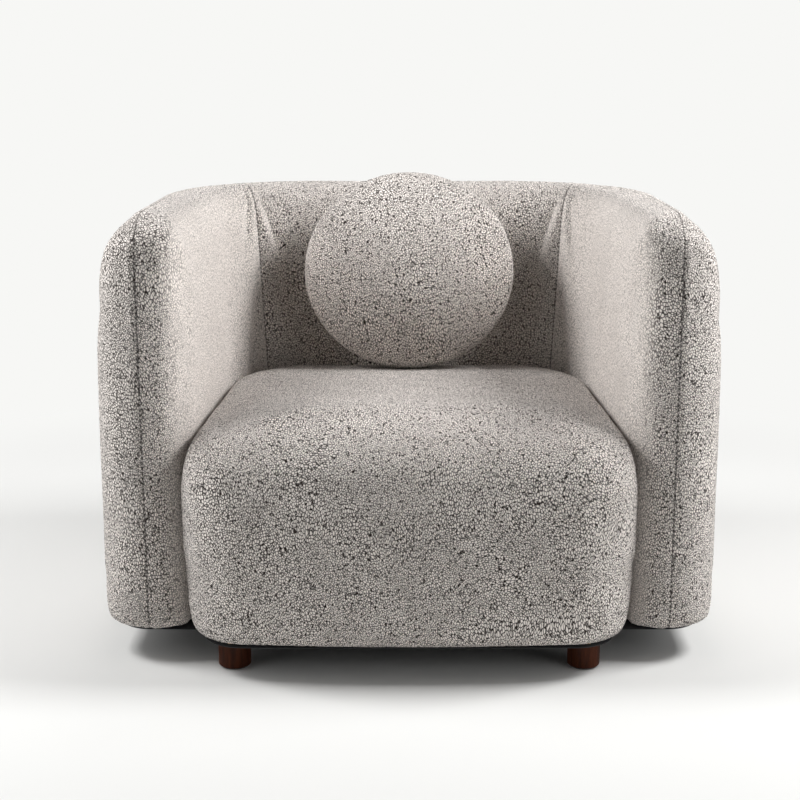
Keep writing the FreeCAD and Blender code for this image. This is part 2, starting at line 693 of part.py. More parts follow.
SPRING_START_Y = BOX_FRONT_Y + PLY / 2 - size("clip_depth") / 2
SPRING_END_Y = BOX_BACK_Y - PLY / 2 + size("clip_depth") / 2
SPRING_LOOPS = int(size("spring_loops"))
SPRING_COUNT = int(size("spring_count"))


def spring_path():
    """Flat zigzag of straight runs and half turns along Y, on X = 0."""
    z = SPRING_Z
    lead = size("spring_lead")
    bend = (SPRING_END_Y - SPRING_START_Y - 2 * lead) / (4 * SPRING_LOOPS)
    half = size("spring_run") / 2
    y = SPRING_START_Y + lead
    path = [line((0, SPRING_START_Y, z), (0, y - bend, z)), quarter((bend, y - bend), bend, 180, 90, z)]
    path.append(line((bend, y, z), (half, y, z)))
    heading = 1
    for turn in range(2 * SPRING_LOOPS):
        path.append(quarter((heading * half, y + bend), bend, -90, -90 + 180 * heading, z))
        y += 2 * bend
        last = turn == 2 * SPRING_LOOPS - 1
        goal = heading * bend if last else -heading * half
        path.append(line((heading * half, y, z), (goal, y, z)))
        heading = -heading
    path.append(quarter((-heading * bend, y + bend), bend, -90, -90 + 90 * heading, z))
    path.append(line((0, y + bend, z), (0, SPRING_END_Y, z)))
    return path


spring_edges = spring_path()
spring_wire = Part.Wire(spring_edges)
wire_circle = Part.makeCircle(size("spring_wire") / 2, Vector(0, SPRING_START_Y, SPRING_Z), Vector(0, 1, 0))
one_spring = spring_wire.makePipeShell([Part.Wire(wire_circle)], True, False)
wire_area = math.pi * size("spring_wire") ** 2 / 4
print("spring volume over section times length:", one_spring.Volume / (wire_area * spring_wire.Length))
springs = []
clips = []
for i in range(SPRING_COUNT):
    x = (i - (SPRING_COUNT - 1) / 2) * size("spring_spacing")
    spring = one_spring.copy()
    spring.translate(Vector(x, 0, 0))
    springs.append(spring)
    for y in (BOX_FRONT_Y + PLY / 2, BOX_BACK_Y - PLY / 2):
        low = (x - size("clip_width") / 2, y - size("clip_depth") / 2, size("box_top"))
        high = (x + size("clip_width") / 2, y + size("clip_depth") / 2, size("box_top") + size("clip_height"))
        bore = Part.makeCylinder(size("spring_wire") / 2 + size("clip_bore_clearance"), 2 * size("clip_depth"),
                                 Vector(x, y - size("clip_depth"), SPRING_Z), Vector(0, 1, 0))
        clips.append(block(low, high).cut(bore))
feature("seat_springs", Part.makeCompound(springs))
feature("spring_clips", Part.makeCompound(clips))
plate("spring_felt", [polygon(box_plan)], "Sizes.felt_thickness",
      "Sizes.box_top + Sizes.clip_height + Sizes.felt_gap")

# Dust cover under the chair, with a hole for each foot

dust_inset = size("dust_cover_inset")
dust_outer = size("corner_radius") - dust_inset
dust_x = CORNER_X + dust_outer
seat_x = size("seat_front_width") / 2 - size("seat_bottom_taper") - dust_inset
seat_y = SEAT_FRONT_Y + size("seat_bow") + dust_inset
step_y = ARM_FRONT_Y + dust_inset
nose = size("seat_corner_radius") - dust_inset
arm_nose = size("arm_outer_radius") - dust_inset
dust_loop = [
    plan_line((CORNER_X, CORNER_Y + dust_outer), (-CORNER_X, CORNER_Y + dust_outer)),
    plan_arc((-CORNER_X, CORNER_Y), dust_outer, 90, 180),
    plan_line((-dust_x, CORNER_Y), (-dust_x, step_y + arm_nose)),
    plan_arc((arm_nose - dust_x, step_y + arm_nose), arm_nose, 180, 270),
    plan_line((arm_nose - dust_x, step_y), (-seat_x, step_y)),
    plan_line((-seat_x, step_y), (-seat_x, seat_y + nose)),
    plan_arc((nose - seat_x, seat_y + nose), nose, 180, 270),
    plan_line((nose - seat_x, seat_y), (seat_x - nose, seat_y)),
    plan_arc((seat_x - nose, seat_y + nose), nose, 270, 360),
    plan_line((seat_x, seat_y + nose), (seat_x, step_y)),
    plan_line((seat_x, step_y), (dust_x - arm_nose, step_y)),
    plan_arc((dust_x - arm_nose, step_y + arm_nose), arm_nose, 270, 360),
    plan_line((dust_x, step_y + arm_nose), (dust_x, CORNER_Y)),
    plan_arc((CORNER_X, CORNER_Y), dust_outer, 0, 90),
]
foot_hole = size("foot_diameter") + 2 * size("dust_hole_clearance")
plate("dust_cover", [dust_loop] + [hole(place, foot_hole) for place in FEET], "Sizes.dust_cover_thickness",
      "Sizes.underside_height - Sizes.dust_cover_thickness")

# Turned wooden feet, each on a hanger bolt in a tee nut, with a felt glide

FOOT_LENGTH = BASE_LIFT + " - Sizes.glide_thickness"


def foot(label, place):
    body = doc.addObject("PartDesign::Body", label)
    body.Label = label
    round_plan = plan_sketch(body, label + "_plan")
    round_plan.addGeometry(Part.Circle(Vector(), Vector(0, 0, 1), size("foot_diameter") / 2), False)
    round_plan.addConstraint(Sketcher.Constraint("Coincident", 0, 3, -1, 1))
    radius = round_plan.addConstraint(Sketcher.Constraint("Radius", 0, size("foot_diameter") / 2))
    round_plan.setExpression("Constraints[%d]" % radius, "Sizes.foot_diameter / 2")
    stem = pad(body, round_plan, label + "_stem", FOOT_LENGTH)
    doc.recompute()
    low_edge = min(range(len(stem.Shape.Edges)), key=lambda i: stem.Shape.Edges[i].BoundBox.ZMax)
    edge_round = body.newObject("PartDesign::Fillet", label + "_edge")
    edge_round.Base = (stem, ["Edge%d" % (low_edge + 1)])
    edge_round.setExpression("Radius", "Sizes.foot_edge_round")
    body.Tip = edge_round
    bore_plan = plan_sketch(body, label + "_bore_plan")
    bore_plan.setExpression(".AttachmentOffset.Base.z", FOOT_LENGTH)
    bore_plan.addGeometry(Part.Circle(Vector(), Vector(0, 0, 1), size("bolt_diameter") / 2), False)
    bore_plan.addConstraint(Sketcher.Constraint("Coincident", 0, 3, -1, 1))
    bore_radius = bore_plan.addConstraint(Sketcher.Constraint("Radius", 0, size("bolt_diameter") / 2))
    bore_plan.setExpression("Constraints[%d]" % bore_radius, "Sizes.bolt_diameter / 2 + Sizes.thread_clearance")
    doc.recompute()
    before = edge_round.Shape.Volume
    bore = body.newObject("PartDesign::Pocket", label + "_bore")
    bore.Profile = bore_plan
    bore.setExpression("Length", "Sizes.bolt_in_foot")
    body.Tip = bore
    body.Placement.Base = Vector(place[0], place[1], 0)
    body.setExpression(".Placement.Base.z", "Sizes.glide_thickness")
    doc.recompute()
    if bore.Shape.Volume >= before:
        raise RuntimeError(label + ": the bolt bore removes nothing")
    return body


for name, place in zip(("front_left_foot", "front_right_foot", "rear_left_foot", "rear_right_foot"), FEET):
    foot(name, place)

bolt_loops = [hole(place, size("bolt_diameter")) for place in FEET]
plate("foot_bolts", bolt_loops, "Sizes.bolt_in_foot + Sizes.bolt_above_wood - Sizes.thread_clearance",
      BASE_LIFT + " - Sizes.bolt_in_foot + Sizes.thread_clearance")
plate("foot_glides", [hole(place, size("glide_diameter")) for place in FEET], "Sizes.glide_thickness", "0")

nuts = []
wood_top = WOOD_BASE + PLY
for x, y in FEET:
    flange = Part.makeCylinder(size("nut_flange_diameter") / 2, size("nut_flange_thickness"), Vector(x, y, wood_top))
    barrel = Part.makeCylinder(size("nut_barrel_diameter") / 2, size("nut_barrel_length"),
                               Vector(x, y, wood_top - size("nut_barrel_length")))
    bore = Part.makeCylinder(size("bolt_diameter") / 2 + size("thread_clearance"), 4 * size("nut_barrel_length"),
                             Vector(x, y, wood_top - 2 * size("nut_barrel_length")))
    nuts.append(flange.fuse(barrel).cut(bore).removeSplitter())
feature("tee_nuts", Part.makeCompound(nuts))


# Round cushion: a crowned lens with a rolled rim, leaned on the back

def lens_side(radius, thickness, rim):
    """Half section of a lens about the Y axis: two crowns that meet in a rounded rim."""
    crown = ((radius - rim) ** 2 + thickness ** 2 / 4 - rim ** 2) / (thickness - 2 * rim)
    reach = crown - rim
    touch_x = (radius - rim) + rim * (radius - rim) / reach
    touch_y = rim * (crown - thickness / 2) / reach
    turn = math.atan2(touch_x, touch_y + crown - thickness / 2) / 2
    middle_x = crown * math.sin(turn)
    middle_y = crown * math.cos(turn) - crown + thickness / 2
    top = thickness / 2
    return [arc((0, top, 0), (middle_x, middle_y, 0), (touch_x, touch_y, 0)),
            arc((touch_x, touch_y, 0), (radius, 0, 0), (touch_x, -touch_y, 0)),
            arc((touch_x, -touch_y, 0), (middle_x, -middle_y, 0), (0, -top, 0))]


def lens(radius, thickness, rim):
    """Solid lens, turned from its half section."""
    axis = line((0, -thickness / 2, 0), (0, thickness / 2, 0))
    profile = Part.Face(Part.Wire([axis] + lens_side(radius, thickness, rim)))
    return profile.revolve(Vector(), Vector(0, 1, 0), 360)


def leaned(shape):
    """The cushion's own squash and tilt, still about the origin."""
    squash = FreeCAD.Matrix()
    squash.scale(1.0, 1.0, size("cushion_squash"))
    shape = shape.transformGeometry(squash)
    shape.rotate(Vector(), Vector(1, 0, 0), -size("cushion_tilt"))
    return shape


# Chair and cushion are alike left and right, so they come closest in the middle plane
cushion_radius = size("cushion_diameter") / 2
cushion_cut = []
for turn in (-90, 90):
    half_cut = Part.Wire(lens_side(cushion_radius, size("cushion_thickness"), size("cushion_rim_radius")))
    half_cut.rotate(Vector(), Vector(0, 1, 0), turn)
    cushion_cut.append(half_cut)
cushion_cut = leaned(Part.makeCompound(cushion_cut))
seat_cut = Part.makeCompound(seat_outside.slice(Vector(1, 0, 0), 0))
shell_cut = Part.makeCompound(shell_outside.slice(Vector(1, 0, 0), 0))
cushion_place = Vector(0, INNER_BACK_Y - size("cushion_thickness"), SEAT_HIGH + cushion_radius)
cushion_cut.translate(cushion_place)
SETTLING_STEPS = 6
for step in range(SETTLING_STEPS):
    drop = cushion_cut.distToShape(seat_cut)[0] - size("cushion_gap")
    cushion_cut.translate(Vector(0, 0, -drop))
    back = cushion_cut.distToShape(shell_cut)[0] - size("cushion_gap")
    cushion_cut.translate(Vector(0, back, 0))
    cushion_place = cushion_place + Vector(0, back, -drop)


def cushion_form(inset):
    """The cushion's solid in its place, its surface moved in by inset."""
    form = leaned(lens(cushion_radius - inset, size("cushion_thickness") - 2 * inset,
                       size("cushion_rim_radius") - inset))
    form.translate(cushion_place)
    return form


print("cushion centre", cushion_place)
feature("cushion_cover", single(cushion_form(0.0).cut(cushion_form(size("cushion_skin")))))
feature("cushion_filling", cushion_form(size("cushion_skin") + size("cover_gap")))

# Check and write every piece

doc.recompute()
pieces = [item for item in doc.Objects if item.TypeId in ("PartDesign::Body", "Part::Feature")]
for item in doc.Objects:
    if "Invalid" in item.State or "Error" in item.State:
        raise RuntimeError("%s did not compute: %s" % (item.Label, item.State))
for piece in pieces:
    shape = piece.Shape
    if shape.isNull() or not shape.isValid() or not shape.Solids:
        raise RuntimeError("%s has no sound solid" % piece.Label)
os.makedirs("parts", exist_ok=True)
for piece in pieces:
    piece.Shape.exportStep("parts/%s.step" % piece.Label)
    box = piece.Shape.BoundBox
    print("%-24s solids %2d  volume %9.0f  z %6.1f to %6.1f" % (piece.Label, len(piece.Shape.Solids),
                                                              piece.Shape.Volume, box.ZMin, box.ZMax))
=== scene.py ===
"""Upholstered tub chair: the looks of its pieces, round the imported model.

Metres. X runs to the right, Y to the back, Z up, and the front faces -Y.
"""
import math

import bmesh
import bpy
import numpy as np
from bpy.props import FloatProperty, FloatVectorProperty, IntProperty, PointerProperty
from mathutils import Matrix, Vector


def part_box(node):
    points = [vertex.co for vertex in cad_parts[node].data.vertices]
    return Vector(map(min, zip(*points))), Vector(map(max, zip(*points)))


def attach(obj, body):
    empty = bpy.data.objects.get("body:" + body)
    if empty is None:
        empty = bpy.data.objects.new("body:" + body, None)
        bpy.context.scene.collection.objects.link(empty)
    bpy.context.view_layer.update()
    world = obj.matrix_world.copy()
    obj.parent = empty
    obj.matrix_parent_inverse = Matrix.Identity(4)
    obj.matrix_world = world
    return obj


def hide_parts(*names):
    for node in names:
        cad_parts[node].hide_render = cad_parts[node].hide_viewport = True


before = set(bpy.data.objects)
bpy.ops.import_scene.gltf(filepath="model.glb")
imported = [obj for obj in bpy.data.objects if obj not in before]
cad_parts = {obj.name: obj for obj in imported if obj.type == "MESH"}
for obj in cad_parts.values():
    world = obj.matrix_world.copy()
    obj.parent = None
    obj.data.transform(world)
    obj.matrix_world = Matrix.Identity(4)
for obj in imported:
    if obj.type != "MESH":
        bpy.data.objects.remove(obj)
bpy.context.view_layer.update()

bl_info = {
    "name": "Tub chair",
    "version": (1, 0, 0),
    "blender": (4, 5, 0),
    "location": "3D View > Sidebar > Tub chair",
    "description": "Upholstery, cushion, feet and stage of a tub chair",
    "category": "Object",
}

MERGE = 2e-5
JOIN = 5e-4
SMALL = 1e-6
SKIN_BEND = math.radians(62)
SEAM_SHIFT = 1.0             # added to stored seam distances, so that a piece without them has no seam
# Painted shade: a seam's dark line is the shade in its groove
SEAM_DARK = (0.0022, 0.0006)  # half widths at which a seam's dark line begins and is full
SEAM_GATHER = 0.0085         # distance between the gathers along a seam
LOOP_MIDDLE = 0.4
SWELL_BESIDE = 0.3           # rise beside a seam, as a part of its depth
SWELL_PLACE = 2.6            # and how far from it, in groove widths
# Painted light on the arms' inner faces: how far a face must turn to the middle before it starts, and over
# how much more it is full
INNER_FACE_FROM = 0.35
INNER_FACE_OVER = 0.45
FOOT_SIDES = 64
FOOT_EDGE = 0.003
FOOT_EDGE_STEPS = 5
CLOTH_CELL = 0.02
LINING_SAG = 0.003
LINING_THICKNESS = 0.0008
FLOOR_FADE = (0.7, 1.7)      # distances from the middle over which the floor meets the backdrop
SIDE_LAMPS = (               # name, place on the right, aim, size, name of the power
    ("light_high", (1.7, -0.1, 2.1), (-0.1, -0.05, 0.5), 0.8, "high_power"),
    ("light_side", (2.3, -0.35, 1.2), (0.0, -0.1, 0.5), 1.4, "side_power"),
    ("light_low", (2.0, -1.6, 0.9), (0.0, -0.1, 0.4), 1.2, "low_power"),
)

SHELL_COVERS = ("outer_cover", "inner_back_cover", "left_arm_cover", "right_arm_cover")
SHELL_NODES = SHELL_COVERS + (
    "back_inner_foam", "left_inner_foam", "right_inner_foam",
    "back_outer_wadding", "left_outer_wadding", "right_outer_wadding",
    "back_top_roll", "left_top_roll", "right_top_roll",
    "left_arm_front_foam", "right_arm_front_foam",
)
SEAT_NODES = ("seat_cover", "seat_foam", "seat_border_foam")
CUSHION_NODES = ("cushion_cover", "cushion_filling")
FEET = ("front_left_foot", "front_right_foot", "rear_left_foot", "rear_right_foot")
NODE_FINISHES = {
    "plywood": ("lower_rib", "upper_rib", "left_arm_front_board", "right_arm_front_board", "inner_board",
                "box_front_panel", "box_back_panel", "box_left_panel", "box_right_panel", "foot_blocks"),
    "softwood": ("frame_posts", "tie_rails", "box_centre_rail", "back_corner_blocks"),
    "card": ("outer_card",),
    "steel": ("seat_springs", "spring_clips", "foot_bolts", "tee_nuts"),
    "felt": ("foot_glides",),
}


# Sizes and colours that a user would change

def length(label, text, value):
    return FloatProperty(name=label, description=text, default=value, unit="LENGTH", precision=4)


def colour(label, text, value):
    return FloatVectorProperty(name=label, description=text, default=value, subtype="COLOR", size=3,
                               min=0.0, max=1.0)


class TubChairForm(bpy.types.PropertyGroup):
    """How the padding and its seams are shaped."""
    underside: length("Underside", "Height of the upholstery's lower edge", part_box("outer_cover")[0][2])
    tuck_height: length("Tuck height", "Height at which the covers tuck in behind the seat", 0.290)
    shell_mesh: length("Shell mesh", "Mesh size of the shell before it swells", 0.010)
    seat_mesh: length("Seat mesh", "Mesh size of the seat before it swells", 0.009)
    cushion_mesh: length("Cushion mesh", "Mesh size of the cushion before it swells", 0.005)
    slack: length("Slack", "How far the shell's and seat's covers start inside their full size", 0.003)
    shell_swell: length("Shell swell", "Most that the shell's cover moves as it fills", 0.005)
    seat_swell: length("Seat swell", "Most that the seat's cover moves as it fills", 0.006)
    cushion_swell: length("Cushion swell", "Most that the cushion's cover moves as it fills", 0.010)
    pressure: FloatProperty(name="Pressure", description="Pressure of the padding in its cover", default=4.0)
    swell_steps: IntProperty(name="Swell steps", description="Steps of the cloth simulation", default=20)
    seam_radius: length("Seam radius", "Radius of the long seam about the shell's corner centres", 0.270)
    corner_x: length("Corner centre X", "Distance of the shell's corner centres from the middle", 0.148)
    corner_y: length("Corner centre Y", "Depth at which the shell's corner centres lie", 0.068)
    back_seam_turn: FloatProperty(name="Back seam angle",
                                  description="Turn of the back seams from straight back",
                                  default=math.radians(41), subtype="ANGLE")
    groove_width: length("Groove width", "Half width of a sewn seam's groove", 0.0035)
    groove_depth: length("Groove depth", "Depth of a sewn seam's groove", 0.0016)
    cushion_rim: FloatProperty(name="Cushion rim",
                               description="Part of the cushion's radius at which its rim begins",
                               default=0.95)
    lump_size: length("Lump size", "Size of the cloth's uneven loops in the mesh", 0.007)
    lump_height: length("Lump height", "Height of the cloth's uneven loops in the mesh", 0.0010)


class TubChairCloth(bpy.types.PropertyGroup):
    """The looped cloth."""
    nub_size: length("Nub size", "Width of one loop of the yarn", 0.0030)
    nub_length: FloatProperty(name="Nub length", description="Length of a loop as a multiple of its width",
                              default=1.7)
    nub_turn: FloatProperty(name="Nub turn", description="Lean of the loops from upright",
                            default=math.radians(-14), subtype="ANGLE")
    wander: length("Wander", "How far the loops' direction wanders over the chair", 0.08)
    nub_colour: colour("Nub colour", "Colour of the yarn's loops", (0.94, 0.865, 0.805))
    pale_colour: colour("Pale colour", "Colour of the palest loops", (0.97, 0.90, 0.85))
    # Painted shade: this colour is the shade deep between the loops, put into the cloth's colour
    gap_shade_colour: colour("Gap colour", "Colour deep between the loops", (0.018, 0.010, 0.006))
    bump: length("Relief", "Depth of the loops' relief", 0.0020)


class TubChairTimber(bpy.types.PropertyGroup):
    """Wood, card and metal."""
    foot_dark: colour("Foot, dark", "Dark grain of the feet", (0.022, 0.005, 0.0015))
    foot_light: colour("Foot, light", "Light grain of the feet", (0.075, 0.018, 0.005))
    ply_light: colour("Plywood, light", "Pale veneers of the plywood", (0.62, 0.46, 0.29))
    ply_dark: colour("Plywood, dark", "Dark veneers of the plywood", (0.40, 0.26, 0.14))
    pine_light: colour("Softwood, light", "Early wood of the rails and posts", (0.66, 0.47, 0.27))
    pine_dark: colour("Softwood, dark", "Late wood of the rails and posts", (0.42, 0.24, 0.11))
    card_colour: colour("Card", "Fibre board round the outside", (0.30, 0.22, 0.15))
    steel_colour: colour("Steel", "Zinc plated steel", (0.55, 0.55, 0.54))
    felt_colour: colour("Felt", "Felt of the pad and the glides", (0.10, 0.10, 0.10))
    lining_colour: colour("Lining", "Cloth under the chair", (0.018, 0.018, 0.020))


class TubChairStage(bpy.types.PropertyGroup):
    """Camera, lights and floor."""
    camera_place: FloatVectorProperty(name="Camera", description="Where the camera stands",
                                      default=(0.0, -2.578, 0.951), subtype="XYZ", unit="LENGTH")
    camera_pitch: FloatProperty(name="Pitch", description="How far the camera looks down",
                                default=math.radians(12.9), subtype="ANGLE")
    lens: FloatProperty(name="Lens", description="Focal length in millimetres", default=67.14)
    shift: FloatProperty(name="Shift", description="Sideways shift of the picture", default=-0.0115)
    high_power: FloatVectorProperty(name="High lights", description="Power of the high lamps, left and right",
                                    size=2, default=(49.0, 60.0))
    side_power: FloatVectorProperty(name="Side lights", description="Power of the lamps beside the chair",
                                    size=2, default=(12.0, 9.0))
    low_power: FloatVectorProperty(name="Low lights", description="Power of the low lamps in front",
                                   size=2, default=(6.0, 9.0))
    back_power: FloatProperty(name="Back light", description="Power of the lamp behind the chair",
                              default=16.0, subtype="POWER")
    sky: FloatProperty(name="Sky", description="Strength of the even light all round", default=0.02)
    floor_colour: colour("Floor colour", "Colour of the floor", (0.740, 0.740, 0.728))
    backdrop_colour: colour("Backdrop colour", "Colour of the backdrop", (0.930, 0.930, 0.913))
    floor_reach: length("Floor reach", "Half size of the floor", 8.0)


def settings(group):
    return getattr(bpy.context.scene, group)


# Meshes as arrays

def points_of(mesh):
    flat = np.empty(len(mesh.vertices) * 3, np.float32)
    mesh.vertices.foreach_get("co", flat)
    return flat.reshape(-1, 3).astype(float)


def normals_of(mesh):
    flat = np.empty(len(mesh.vertices) * 3, np.float32)
    mesh.vertex_normals.foreach_get("vector", flat)
    return flat.reshape(-1, 3).astype(float)


def move_to(mesh, points):
    mesh.vertices.foreach_set("co", points.astype(np.float32).ravel())
    mesh.update()


def keep_value(mesh, name, values):
    """Stores one number per vertex under a name that materials can read."""
    layer = mesh.attributes.new(name, "FLOAT", "POINT")
    layer.data.foreach_set("value", values.astype(np.float32))


def rounded(piece):
    mesh = piece.data
    mesh.polygons.foreach_set("use_smooth", np.ones(len(mesh.polygons), bool))
    mesh.update()


def piece_from(name, bm):
    mesh = bpy.data.meshes.new(name)
    bm.to_mesh(mesh)
    bm.free()
    piece = bpy.data.objects.new(name, mesh)
    bpy.context.scene.collection.objects.link(piece)
    return piece


def settle(piece):
    """Replaces a piece's mesh by what its modifiers make of it."""
    graph = bpy.context.evaluated_depsgraph_get()
    mesh = bpy.data.meshes.new_from_object(piece.evaluated_get(graph), depsgraph=graph)
    old = piece.data
    piece.modifiers.clear()
    piece.data = mesh
    bpy.data.meshes.remove(old)
    piece.data.name = piece.name


def remesh(piece, voxel):
    modifier = piece.modifiers.new("Even mesh", "REMESH")
    modifier.mode = "VOXEL"
    modifier.voxel_size = voxel
    settle(piece)


def subdivide(piece):
    modifier = piece.modifiers.new("Finer", "SUBSURF")
    modifier.levels = 1
    modifier.render_levels = 1
    settle(piece)


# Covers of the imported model, as closed forms to fill with padding

def merged_copy(node):
    bm = bmesh.new()
    bm.from_mesh(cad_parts[node].data)
    bmesh.ops.remove_doubles(bm, verts=bm.verts, dist=MERGE)
    return bm


def outer_skin(node, way):
    """A cover's outside face: all that joins its furthest face one way by gentle bends."""
    bm = merged_copy(node)
    seed = max(bm.faces, key=lambda face: face.calc_center_median().dot(way))
    kept = {seed}
    open_faces = [seed]
    while open_faces:
        for edge in open_faces.pop().edges:
            if len(edge.link_faces) == 2 and edge.calc_face_angle() < SKIN_BEND:
                fresh = [face for face in edge.link_faces if face not in kept]
                kept.update(fresh)
                open_faces.extend(fresh)
    bmesh.ops.delete(bm, geom=[face for face in bm.faces if face not in kept], context="FACES")
    return bm


def closed_form(name, nodes):
    """The covers' outside faces sewn together, their tucked edges run down, and the underside closed."""
    form = settings("tub_chair_form")
    joined = bmesh.new()
    for node in nodes:
        skin = outer_skin(node, Vector((1, 0, 0)) if node == "outer_cover" else Vector((0, 0, 1)))
        part = bpy.data.meshes.new(node + "_skin")
        skin.to_mesh(part)
        skin.free()
        joined.from_mesh(part)
        bpy.data.meshes.remove(part)
    rim = [vert for vert in joined.verts if vert.is_boundary]
    bmesh.ops.remove_doubles(joined, verts=rim, dist=JOIN)
    tucked = [edge for edge in joined.edges if edge.is_boundary
              and all(abs(vert.co.z - form.tuck_height) < JOIN for vert in edge.verts)]
    run = bmesh.ops.extrude_edge_only(joined, edges=tucked)
    for item in run["geom"]:
        if isinstance(item, bmesh.types.BMVert):
            item.co.z = form.underside
    rim = [vert for vert in joined.verts if vert.is_boundary and vert.co.z < form.underside + JOIN]
    bmesh.ops.remove_doubles(joined, verts=rim, dist=2 * JOIN)
    low = [edge for edge in joined.edges if edge.is_boundary
           and all(vert.co.z < form.underside + JOIN for vert in edge.verts)]
    bmesh.ops.triangle_fill(joined, use_beauty=True, edges=low)
    bmesh.ops.recalc_face_normals(joined, faces=joined.faces)
    return piece_from(name, joined)


def biggest_part(bm):
    """Leaves only the connected part of a mesh that reaches furthest."""
    best = set()
    reach = -math.inf
    left = set(bm.faces)
    while left:
        part = {left.pop()}
        open_faces = list(part)
        while open_faces:
            for edge in open_faces.pop().edges:
                fresh = [face for face in edge.link_faces if face in left]
                left.difference_update(fresh)
                part.update(fresh)
                open_faces.extend(fresh)
        top = max(face.calc_center_median().z for face in part)
        if top > reach:
            reach = top
            best = part
    bmesh.ops.delete(bm, geom=[face for face in bm.faces if face not in best], context="FACES")
    return bm


# Filling a cover: cloth under pressure

def swell(piece, held, most, slack=0.0):
    """Swells a cover under its padding's pressure; held is a mask of what stays, most caps the movement."""
    form = settings("tub_chair_form")
    start = points_of(piece.data)
    start -= slack * normals_of(piece.data)
    move_to(piece.data, start)
    group = piece.vertex_groups.new(name="held")
    group.add(np.nonzero(held)[0].tolist(), 1.0, "REPLACE")
    modifier = piece.modifiers.new("Swell", "CLOTH")
    cloth = modifier.settings
    cloth.vertex_group_mass = group.name
    cloth.use_pressure = True
    cloth.uniform_pressure_force = form.pressure
    cloth.effector_weights.gravity = 0.0
    modifier.collision_settings.use_collision = False
    modifier.point_cache.frame_start = 1
    modifier.point_cache.frame_end = form.swell_steps
    scene = bpy.context.scene
    for step in range(1, form.swell_steps + 1):
        scene.frame_set(step)
    graph = bpy.context.evaluated_depsgraph_get()
    swollen = points_of(piece.evaluated_get(graph).data)
    scene.frame_set(1)
    piece.modifiers.clear()
    piece.vertex_groups.clear()
    shift = swollen - start
    size = np.linalg.norm(shift, axis=1)
    share = most * np.tanh(size / most) / np.maximum(size, SMALL)
    move_to(piece.data, start + shift * share[:, None])


def uneven(piece):
    """Raises the cloth's uneven loops in the mesh itself."""
    form = settings("tub_chair_form")
    pattern = bpy.data.textures.new(piece.name + "_loops", "VORONOI")
    pattern.noise_scale = form.lump_size
    modifier = piece.modifiers.new("Loops", "DISPLACE")
    modifier.texture = pattern
    modifier.texture_coords = "LOCAL"
    modifier.strength = -form.lump_height
    modifier.mid_level = LOOP_MIDDLE
    settle(piece)
    bpy.data.textures.remove(pattern)


# Seams

def shell_seams(points):
    """Signed distances to the long seam and to the nearer back seam, and the length along each."""
    form = settings("tub_chair_form")
    across = np.maximum(np.abs(points[:, 0]) - form.corner_x, 0.0)
    behind = np.maximum(points[:, 1] - form.corner_y, 0.0)
    around = np.hypot(across, behind) - form.seam_radius
    turn = form.back_seam_turn
    dx = np.abs(points[:, 0]) - form.corner_x
    dy = points[:, 1] - form.corner_y
    radial = dx * math.cos(turn) - dy * math.sin(turn)
    outward = dx * math.sin(turn) + dy * math.cos(turn)
    back = np.where((outward > 0) & (around < 0), radial, 1.0)
    sweep = np.arctan2(behind, np.maximum(across, SMALL)) * form.seam_radius
    along = np.where(behind > 0, sweep + form.corner_y, points[:, 1]) + np.maximum(form.corner_x - np.abs(
        points[:, 0]), 0.0) + points[:, 2]
    return around, back, along, outward + points[:, 2]


def sew(piece, distance, width, depth):
    """Draws a cover in along a seam, with a soft swell at both sides of it."""
    points = points_of(piece.data)
    inward = depth * np.exp(-(distance / width) ** 2)
    inward -= SWELL_BESIDE * depth * np.exp(-((np.abs(distance) - SWELL_PLACE * width) / width) ** 2)
    move_to(piece.data, points - inward[:, None] * normals_of(piece.data))


# Materials: sums on sockets, and one way to make any other node

class Flow:
    """One output socket of a material, ready to take part in sums."""

    def __init__(self, finish, socket):
        self.finish = finish
        self.socket = socket

    def maths(self, operation, *values):
        return self.finish.node("ShaderNodeMath", {"operation": operation}, dict(enumerate(values)))

    def __add__(self, other):
        return self.maths("ADD", self, other)

    __radd__ = __add__

    def __sub__(self, other):
        return self.maths("SUBTRACT", self, other)

    def __rsub__(self, other):
        return self.maths("SUBTRACT", other, self)

    def __mul__(self, other):
        return self.maths("MULTIPLY", self, other)

    __rmul__ = __mul__

    def __truediv__(self, other):
        return self.maths("DIVIDE", self, other)

    def __abs__(self):
        return self.maths("ABSOLUTE", self)

    def fraction(self):
        return self.maths("FRACT", self)

    def largest(self, other):
        return self.maths("MAXIMUM", self, other)

    def power(self, other):
        return self.maths("POWER", self, other)


